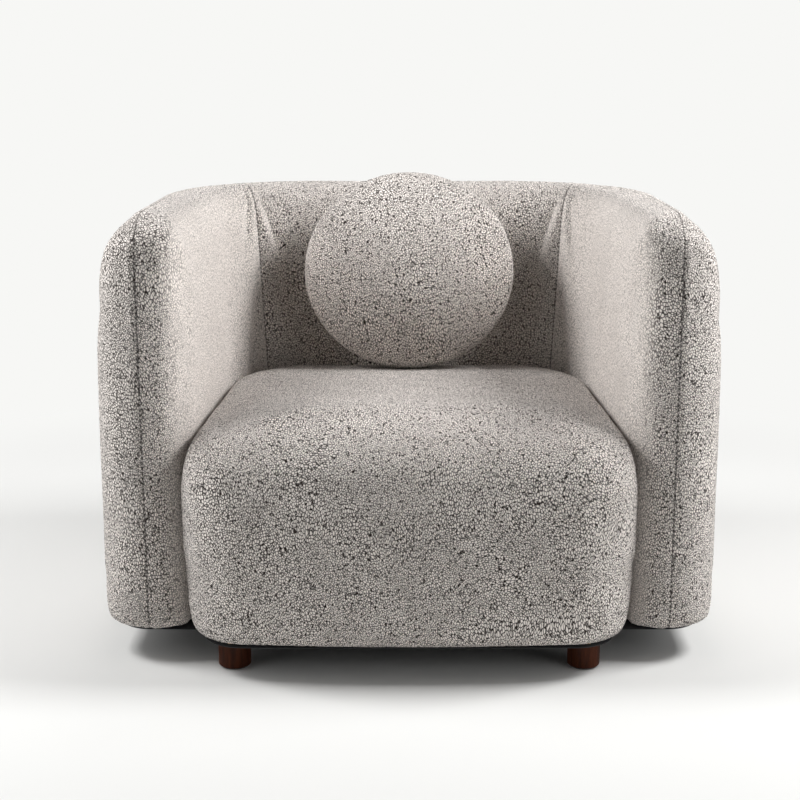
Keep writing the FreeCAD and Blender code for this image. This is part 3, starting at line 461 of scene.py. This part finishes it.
class Finish:
    """One procedural material."""

    def __init__(self, name):
        self.material = bpy.data.materials.new(name)
        self.material.use_nodes = True
        self.tree = self.material.node_tree
        self.tree.nodes.clear()

    def node(self, kind, adjust=None, inputs=None, output=0):
        made = self.tree.nodes.new(kind)
        for key, value in (adjust or {}).items():
            setattr(made, key, value)
        for key, value in (inputs or {}).items():
            socket = made.inputs[key]
            if isinstance(value, Flow):
                self.tree.links.new(value.socket, socket)
            else:
                socket.default_value = value
        return Flow(self, made.outputs[output])

    def spot(self):
        """The place on the piece, in metres."""
        return self.node("ShaderNodeTexCoord", output="Object")

    def axes(self, vector):
        split = self.node("ShaderNodeSeparateXYZ", inputs={0: vector})
        return [Flow(self, output) for output in split.socket.node.outputs]

    def stretched(self, vector, turn, scale):
        """A place turned by some angles and then stretched along its own axes."""
        return self.node("ShaderNodeMapping", {"vector_type": "TEXTURE"},
                         {"Vector": vector, "Rotation": turn, "Scale": scale})

    def noise(self, vector, scale, detail=2.0, rough=0.5, output="Fac"):
        return self.node("ShaderNodeTexNoise", {},
                         {"Vector": vector, "Scale": scale, "Detail": detail, "Roughness": rough}, output)

    def cells(self, vector, scale, feature="F1"):
        return self.node("ShaderNodeTexVoronoi", {"feature": feature}, {"Vector": vector, "Scale": scale},
                         "Distance")

    def shaken(self, vector, scale, amount):
        """A place moved about by a noise, so that a pattern on it wanders."""
        stray = self.noise(vector, scale, 1.0, output="Color")
        centred = self.node("ShaderNodeVectorMath", {"operation": "SUBTRACT"}, {0: stray, 1: (0.5, 0.5, 0.5)})
        scaled = self.node("ShaderNodeVectorMath", {"operation": "SCALE"}, {0: centred, "Scale": amount})
        return self.node("ShaderNodeVectorMath", {"operation": "ADD"}, {0: vector, 1: scaled})

    def step(self, value, low, high):
        """0 below low, 1 above high, and easing between; low may be the greater."""
        return self.node("ShaderNodeMapRange", {"interpolation_type": "SMOOTHSTEP"},
                         {"Value": value, "From Min": low, "From Max": high})

    def blend(self, share, first, second):
        first, second = [value if isinstance(value, Flow) else (*value[:3], 1.0) for value in (first, second)]
        return self.node("ShaderNodeMix", {"data_type": "RGBA"}, {0: share, 6: first, 7: second}, 2)

    def read(self, name):
        return self.node("ShaderNodeAttribute", {"attribute_name": name}, output="Fac")

    def relief(self, height, distance, strength=1.0):
        return self.node("ShaderNodeBump", {}, {"Height": height, "Distance": distance, "Strength": strength})

    def surface(self, **sockets):
        names = {key.replace("_", " ").title().replace("Ior", "IOR"): value for key, value in sockets.items()}
        shader = self.node("ShaderNodeBsdfPrincipled", {}, names)
        self.node_output(shader)
        return self.material

    def node_output(self, shader):
        end = self.tree.nodes.new("ShaderNodeOutputMaterial")
        self.tree.links.new(shader.socket, end.inputs["Surface"])


def boucle():
    """Looped greige cloth: pale curly nubs of yarn, with painted shade in the narrow dark slots between them.
    """
    cloth = settings("tub_chair_cloth")
    finish = Finish("greige_boucle")
    spot = finish.spot()
    pitch = 1 / cloth.nub_size
    bent = finish.shaken(spot, 6.0, cloth.wander)
    laid = finish.stretched(bent, (math.radians(10), cloth.nub_turn, math.radians(8)),
                            (1.0, 1.0, cloth.nub_length))
    curled = finish.shaken(laid, 0.9 * pitch, 0.22 * cloth.nub_size)
    height = finish.step(finish.cells(curled, pitch, "DISTANCE_TO_EDGE"), 0.025, 0.17)
    smooth = finish.read("smooth")
    # Painted light: on the arms' inner faces the gap shade is partly filled in
    depth = finish.step(height, 0.0, 0.85).largest(smooth * 0.45)
    tone = finish.noise(spot, 0.25 * pitch, 2.0)
    # The loops are paler towards their tops, a painted highlight, and paler at random by tone
    yarn = finish.blend(finish.step(height, 0.4, 1.0) * 0.6 + finish.step(tone, 0.35, 0.7) * 0.3,
                        cloth.nub_colour, cloth.pale_colour)
    # Painted shade: along a seam's groove and in the slots between its gathers the cloth is darkened towards
    # the gap shade colour
    seam = finish.step(abs(finish.read("seam") - SEAM_SHIFT), *SEAM_DARK)
    slot = finish.step(abs((finish.read("along") / SEAM_GATHER).fraction() - 0.5), 0.16, 0.34)
    sunk = 1 - seam * (0.30 + 0.55 * slot)
    # Painted shade: the colour goes to the gap shade colour between the loops and in the seams
    base = finish.blend(depth * sunk, cloth.gap_shade_colour, yarn)
    bump = finish.relief(height * (1 - 0.7 * smooth) + sunk * 0.8, cloth.bump)
    return finish.surface(base_color=base, roughness=0.95, normal=bump, sheen_weight=0.1, sheen_roughness=0.6)


def wood(name, light, dark, along, ring=55.0, rough=0.6):
    """Planed wood with its grain along one axis."""
    finish = Finish(name)
    spot = finish.spot()
    stretch = [1.0, 1.0, 1.0]
    stretch[along] = 14.0
    grain = finish.stretched(spot, (0.0, 0.0, 0.0), tuple(stretch))
    bands = finish.noise(grain, ring, 4.0, 0.6)
    pores = finish.noise(grain, ring * 14, 2.0, 0.6)
    share = finish.step(bands * 0.8 + pores * 0.25, 0.38, 0.68)
    base = finish.blend(share, dark, light)
    bump = finish.relief(share * 0.6 + pores * 0.4, 0.0003)
    return finish.surface(base_color=base, roughness=rough + (pores - 0.5) * 0.2, normal=bump,
                          specular_ior_level=0.12)


def plywood():
    """Birch plywood, its veneers seen in bands at the edges."""
    timber = settings("tub_chair_timber")
    finish = Finish("birch_plywood")
    spot = finish.spot()
    x, y, z = finish.axes(spot)
    grain = finish.stretched(spot, (0.0, 0.0, 0.0), (9.0, 1.0, 1.0))
    figure = finish.noise(grain, 60.0, 3.0)
    veneer = finish.step(abs((z / 0.0028).fraction() - 0.5), 0.18, 0.30)
    base = finish.blend(figure * 0.6 + veneer * 0.35, timber.ply_light, timber.ply_dark)
    bump = finish.relief(figure + veneer * 0.3, 0.0002)
    return finish.surface(base_color=base, roughness=0.62 + figure * 0.15, normal=bump)


def card():
    timber = settings("tub_chair_timber")
    finish = Finish("fibre_card")
    spot = finish.spot()
    fleck = finish.noise(spot, 420.0, 4.0, 0.7)
    base = finish.blend(finish.step(fleck, 0.35, 0.75), [0.7 * part for part in timber.card_colour],
                        [1.25 * part for part in timber.card_colour])
    return finish.surface(base_color=base, roughness=0.85, normal=finish.relief(fleck, 0.0003))


def steel():
    timber = settings("tub_chair_timber")
    finish = Finish("zinc_plated_steel")
    spot = finish.spot()
    mottle = finish.cells(spot, 260.0)
    scratch = finish.noise(finish.stretched(spot, (0.3, 0.2, 0.0), (1.0, 1.0, 12.0)), 700.0, 2.0)
    base = finish.blend(finish.step(mottle, 0.1, 0.8), timber.steel_colour,
                        [0.8 * part for part in timber.steel_colour])
    return finish.surface(base_color=base, metallic=1.0, roughness=0.32 + scratch * 0.25,
                          normal=finish.relief(scratch, 0.00005))


def felted(name, tint):
    """Pressed fibres, without a weave."""
    finish = Finish(name)
    spot = finish.spot()
    fibre = finish.noise(finish.shaken(spot, 300.0, 0.004), 900.0, 4.0, 0.7)
    base = finish.blend(finish.step(fibre, 0.3, 0.75), [0.6 * part for part in tint],
                        [1.5 * part for part in tint])
    return finish.surface(base_color=base, roughness=0.95, normal=finish.relief(fibre, 0.0006),
                          sheen_weight=0.2)


def lining_cloth():
    """Thin spun lining with a fine woven grid."""
    timber = settings("tub_chair_timber")
    finish = Finish("black_lining")
    spot = finish.spot()
    x, y, z = finish.axes(spot)
    thread = finish.step(abs((x / 0.0011).fraction() - 0.5), 0.1, 0.45)
    weft = finish.step(abs((y / 0.0011).fraction() - 0.5), 0.1, 0.45)
    weave = thread.largest(weft)
    mottle = finish.noise(spot, 120.0, 3.0)
    base = finish.blend(weave * 0.5 + mottle * 0.4, [0.5 * part for part in timber.lining_colour],
                        [2.2 * part for part in timber.lining_colour])
    return finish.surface(base_color=base, roughness=0.85, normal=finish.relief(weave, 0.0003))


def cover(piece, material):
    piece.data.materials.clear()
    piece.data.materials.append(material)


def shared(name, make):
    """A material by name, made the first time that a piece asks for it."""
    return bpy.data.materials.get(name) or make()


def upholstered(piece, body, nodes):
    """Gives a padded piece its cloth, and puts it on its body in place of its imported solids."""
    rounded(piece)
    cover(piece, shared("greige_boucle", boucle))
    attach(piece, body)
    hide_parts(*nodes)


# Operators: one for each piece or group of like pieces

class TUBCHAIR_OT_shell(bpy.types.Operator):
    """Pad and cover the arms and back as one sewn shell"""
    bl_idname = "tub_chair.shell"
    bl_label = "Upholstered shell"

    def execute(self, context):
        form = settings("tub_chair_form")
        piece = closed_form("shell_upholstery", SHELL_COVERS)
        remesh(piece, form.shell_mesh)
        points = points_of(piece.data)
        around, back, along, back_along = shell_seams(points)
        near = np.minimum(np.abs(around), np.abs(back)) < form.shell_mesh
        held = near | (points[:, 2] < form.underside + 2 * form.shell_mesh)
        swell(piece, held, form.shell_swell, form.slack)
        subdivide(piece)
        around, back, along, back_along = shell_seams(points_of(piece.data))
        nearer = np.abs(back) < np.abs(around)
        seam = np.where(nearer, back, around)
        uneven(piece)
        sew(piece, seam, form.groove_width, form.groove_depth)
        keep_value(piece.data, "seam", SEAM_SHIFT + seam)
        keep_value(piece.data, "along", np.where(nearer, back_along, along))
        # Painted light and flatter relief on the arms' inner faces
        keep_value(piece.data, "smooth", self.inner_face_light_and_relief(piece.data))
        upholstered(piece, "chair", SHELL_NODES)
        return {"FINISHED"}

    def inner_face_light_and_relief(self, mesh):
        """Painted light on the arms' inner faces, most where they face the middle: there the gaps between the
        loops are less dark and the relief is flatter.
        """
        inward = -normals_of(mesh)[:, 0] * np.sign(points_of(mesh)[:, 0])
        return np.clip((inward - INNER_FACE_FROM) / INNER_FACE_OVER, 0.0, 1.0)


class TUBCHAIR_OT_seat(bpy.types.Operator):
    """Pad and cover the seat block"""
    bl_idname = "tub_chair.seat"
    bl_label = "Upholstered seat"

    def execute(self, context):
        form = settings("tub_chair_form")
        piece = closed_form("seat_upholstery", SEAT_NODES[:1])
        remesh(piece, form.seat_mesh)
        points = points_of(piece.data)
        swell(piece, points[:, 2] < form.underside + 2 * form.seat_mesh, form.seat_swell, form.slack)
        subdivide(piece)
        uneven(piece)
        upholstered(piece, "chair", SEAT_NODES)
        return {"FINISHED"}


class TUBCHAIR_OT_cushion(bpy.types.Operator):
    """Fill the round loose cushion"""
    bl_idname = "tub_chair.cushion"
    bl_label = "Round cushion"

    def execute(self, context):
        form = settings("tub_chair_form")
        piece = piece_from("round_cushion", biggest_part(merged_copy("cushion_cover")))
        remesh(piece, form.cushion_mesh)
        points = points_of(piece.data)
        offset = points - points.mean(axis=0)
        face = np.linalg.svd(offset, full_matrices=False)[2][2]
        radius = np.linalg.norm(offset - np.outer(offset @ face, face), axis=1)
        swell(piece, radius > form.cushion_rim * radius.max(), form.cushion_swell)
        subdivide(piece)
        uneven(piece)
        upholstered(piece, "cushion", CUSHION_NODES)
        return {"FINISHED"}


class TUBCHAIR_OT_feet(bpy.types.Operator):
    """Turn the four wooden feet"""
    bl_idname = "tub_chair.feet"
    bl_label = "Wooden feet"

    def execute(self, context):
        timber = settings("tub_chair_timber")
        for node in FEET:
            low, high = [Vector(corner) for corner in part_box(node)]
            middle = (low + high) / 2
            radius = (high.x - low.x) / 2
            bm = bmesh.new()
            bmesh.ops.create_circle(bm, cap_ends=True, segments=FOOT_SIDES, radius=radius)
            wall = bmesh.ops.extrude_face_region(bm, geom=bm.faces[:])
            raised = [item for item in wall["geom"] if isinstance(item, bmesh.types.BMVert)]
            bmesh.ops.translate(bm, verts=raised, vec=(0, 0, high.z - low.z))
            bmesh.ops.recalc_face_normals(bm, faces=bm.faces)
            rims = [edge for edge in bm.edges if abs(edge.verts[0].co.z - edge.verts[1].co.z) < SMALL]
            bmesh.ops.bevel(bm, geom=rims, offset=FOOT_EDGE, offset_type="OFFSET", segments=FOOT_EDGE_STEPS,
                            profile=0.5, affect="EDGES", material=-1)
            bmesh.ops.translate(bm, verts=bm.verts, vec=(middle.x, middle.y, low.z))
            piece = piece_from(node + "_turned", bm)
            rounded(piece)
            cover(piece, shared("dark_foot_wood", lambda: wood(
                "dark_foot_wood", timber.foot_light, timber.foot_dark, 2, 90.0, 0.5)))
            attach(piece, "chair")
            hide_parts(node)
        return {"FINISHED"}


def plate_grid(node):
    """A flat cloth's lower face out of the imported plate, cut into a grid that can sag."""
    bm = merged_copy(node)
    low, high = [Vector(corner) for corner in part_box(node)]
    gone = [face for face in bm.faces if face.normal.z > -0.5]
    bmesh.ops.delete(bm, geom=gone, context="FACES")
    bmesh.ops.dissolve_limit(bm, angle_limit=math.radians(1), verts=bm.verts, edges=bm.edges)
    for axis in (0, 1):
        normal = Vector((1 - axis, axis, 0))
        for i in range(1, int((high[axis] - low[axis]) / CLOTH_CELL) + 1):
            bmesh.ops.bisect_plane(bm, geom=bm.verts[:] + bm.edges[:] + bm.faces[:], dist=SMALL,
                                   plane_co=normal * (low[axis] + i * CLOTH_CELL), plane_no=normal)
    bmesh.ops.triangulate(bm, faces=[face for face in bm.faces if len(face.verts) > 4])
    return bm


class TUBCHAIR_OT_lining(bpy.types.Operator):
    """Stretch the lining under the chair and lay the felt on the springs"""
    bl_idname = "tub_chair.lining"
    bl_label = "Lining and felt"

    def execute(self, context):
        timber = settings("tub_chair_timber")
        for node, name, material, slot in (
                ("dust_cover", "underside_lining", shared("black_lining", lining_cloth), "lining"),
                ("spring_felt", "spring_felt_pad", shared("grey_felt", lambda: felted(
                    "grey_felt", timber.felt_colour)), "felt")):
            lining = node == "dust_cover"
            bm = plate_grid(node)
            low, high = [Vector(corner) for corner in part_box(node)]
            middle = (low + high) / 2
            half = (high - low) / 2
            for vert in bm.verts if lining else ():
                across = 1 - ((vert.co.x - middle.x) / half.x) ** 2
                share = across * (1 - ((vert.co.y - middle.y) / half.y) ** 2)
                vert.co.z -= LINING_SAG * max(share, 0.0) ** 0.5
            piece = piece_from(name, bm)
            thick = piece.modifiers.new("Thickness", "SOLIDIFY")
            thick.thickness = LINING_THICKNESS if lining else high.z - low.z
            thick.offset = -1.0
            settle(piece)
            cover(piece, material)
            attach(piece, "chair")
            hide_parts(node)
        return {"FINISHED"}


class TUBCHAIR_OT_frame(bpy.types.Operator):
    """Give the frame, springs and fittings their finishes"""
    bl_idname = "tub_chair.frame"
    bl_label = "Frame finishes"

    def execute(self, context):
        timber = settings("tub_chair_timber")
        finishes = {
            "plywood": plywood(),
            "softwood": wood("pine", timber.pine_light, timber.pine_dark, 0),
            "card": card(),
            "steel": steel(),
            "felt": shared("grey_felt", lambda: felted("grey_felt", timber.felt_colour)),
        }
        for kind, nodes in NODE_FINISHES.items():
            for node in nodes:
                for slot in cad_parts[node].material_slots:
                    slot.material = finishes[kind]
        return {"FINISHED"}


class TUBCHAIR_OT_stage(bpy.types.Operator):
    """Set up the floor, lights and camera"""
    bl_idname = "tub_chair.stage"
    bl_label = "Stage"

    def execute(self, context):
        stage = settings("tub_chair_stage")
        scene = context.scene
        scene.view_settings.view_transform = "Standard"
        bm = bmesh.new()
        bmesh.ops.create_grid(bm, x_segments=8, y_segments=8, size=stage.floor_reach)
        floor = piece_from("floor", bm)
        cover(floor, self.floor_finish(stage))
        self.sky(scene, stage)
        for i, side in enumerate((-1, 1)):
            for name, (x, y, z), (aim_x, aim_y, aim_z), size, setting in SIDE_LAMPS:
                power = getattr(stage, setting)[i]
                self.light(name, (side * x, y, z), (side * aim_x, aim_y, aim_z), size, power)
        self.light("light_back", (0.0, 2.4, 1.3), (0.0, 0.3, 0.45), 1.6, stage.back_power)
        lens = bpy.data.cameras.new("camera")
        lens.sensor_width = 36.0
        lens.lens = stage.lens
        lens.shift_x = stage.shift
        camera = bpy.data.objects.new("camera", lens)
        camera.location = stage.camera_place
        camera.rotation_euler = (math.radians(90) - stage.camera_pitch, 0.0, 0.0)
        scene.collection.objects.link(camera)
        scene.camera = camera
        return {"FINISHED"}

    def floor_finish(self, stage):
        """Pale floor that keeps the shadow near the chair and meets the white backdrop further out."""
        finish = Finish("pale_floor")
        x, y, z = finish.axes(finish.spot())
        away = (x * x + y * y).power(0.5)
        seen = finish.node("ShaderNodeLightPath", output="Is Camera Ray")
        mirrored = finish.node("ShaderNodeLightPath", output="Is Glossy Ray")
        share = finish.step(away, *FLOOR_FADE) * seen.largest(mirrored)
        lit = finish.node("ShaderNodeBsdfDiffuse", inputs={"Color": (*stage.floor_colour, 1.0)})
        plain = finish.node("ShaderNodeEmission",
                            inputs={"Color": (*stage.backdrop_colour, 1.0), "Strength": 1.0})
        finish.node_output(finish.node("ShaderNodeMixShader", inputs={0: share, 1: lit, 2: plain}))
        return finish.material

    def sky(self, scene, stage):
        """White behind the chair, and an even weak light on it."""
        world = bpy.data.worlds.new("studio")
        world.use_nodes = True
        tree = world.node_tree
        tree.nodes.clear()
        end = tree.nodes.new("ShaderNodeOutputWorld")
        mix = tree.nodes.new("ShaderNodeMixShader")
        seen = tree.nodes.new("ShaderNodeLightPath")
        for i, strength in ((1, stage.sky), (2, 1.0)):
            back = tree.nodes.new("ShaderNodeBackground")
            back.inputs["Color"].default_value = (*stage.backdrop_colour, 1.0)
            back.inputs["Strength"].default_value = strength
            tree.links.new(back.outputs[0], mix.inputs[i])
        both = tree.nodes.new("ShaderNodeMath")
        both.operation = "MAXIMUM"
        tree.links.new(seen.outputs["Is Camera Ray"], both.inputs[0])
        tree.links.new(seen.outputs["Is Glossy Ray"], both.inputs[1])
        tree.links.new(both.outputs[0], mix.inputs[0])
        tree.links.new(mix.outputs[0], end.inputs["Surface"])
        scene.world = world

    def light(self, name, place, aim, size, power):
        lamp = bpy.data.lights.new(name, "AREA")
        lamp.shape = "SQUARE"
        lamp.size = size
        lamp.energy = power
        holder = bpy.data.objects.new(name, lamp)
        holder.location = place
        holder.rotation_euler = (Vector(aim) - Vector(place)).to_track_quat("-Z", "Y").to_euler()
        bpy.context.scene.collection.objects.link(holder)


OPERATORS = (TUBCHAIR_OT_shell, TUBCHAIR_OT_seat, TUBCHAIR_OT_cushion, TUBCHAIR_OT_feet, TUBCHAIR_OT_lining,
             TUBCHAIR_OT_frame, TUBCHAIR_OT_stage)


class TUBCHAIR_PT_sidebar(bpy.types.Panel):
    """Sizes, colours and pieces of the tub chair"""
    bl_idname = "TUBCHAIR_PT_sidebar"
    bl_label = "Tub chair"
    bl_space_type = "VIEW_3D"
    bl_region_type = "UI"
    bl_category = "Tub chair"

    def draw(self, context):
        for group in GROUPS:
            box = self.layout.box()
            for name in GROUPS[group].__annotations__:
                box.prop(getattr(context.scene, group), name)
        for operator in OPERATORS:
            self.layout.operator(operator.bl_idname)


GROUPS = {
    "tub_chair_form": TubChairForm,
    "tub_chair_cloth": TubChairCloth,
    "tub_chair_timber": TubChairTimber,
    "tub_chair_stage": TubChairStage,
}


def register():
    for group, kind in GROUPS.items():
        bpy.utils.register_class(kind)
        setattr(bpy.types.Scene, group, PointerProperty(type=kind))
    for kind in OPERATORS + (TUBCHAIR_PT_sidebar,):
        bpy.utils.register_class(kind)


def unregister():
    for kind in reversed(OPERATORS + (TUBCHAIR_PT_sidebar,)):
        bpy.utils.unregister_class(kind)
    for group, kind in GROUPS.items():
        delattr(bpy.types.Scene, group)
        bpy.utils.unregister_class(kind)


def main():
    register()
    bpy.ops.tub_chair.stage()
    bpy.ops.tub_chair.shell()
    bpy.ops.tub_chair.seat()
    bpy.ops.tub_chair.cushion()
    bpy.ops.tub_chair.feet()
    bpy.ops.tub_chair.lining()
    bpy.ops.tub_chair.frame()


if __name__ == "__main__":
    main()
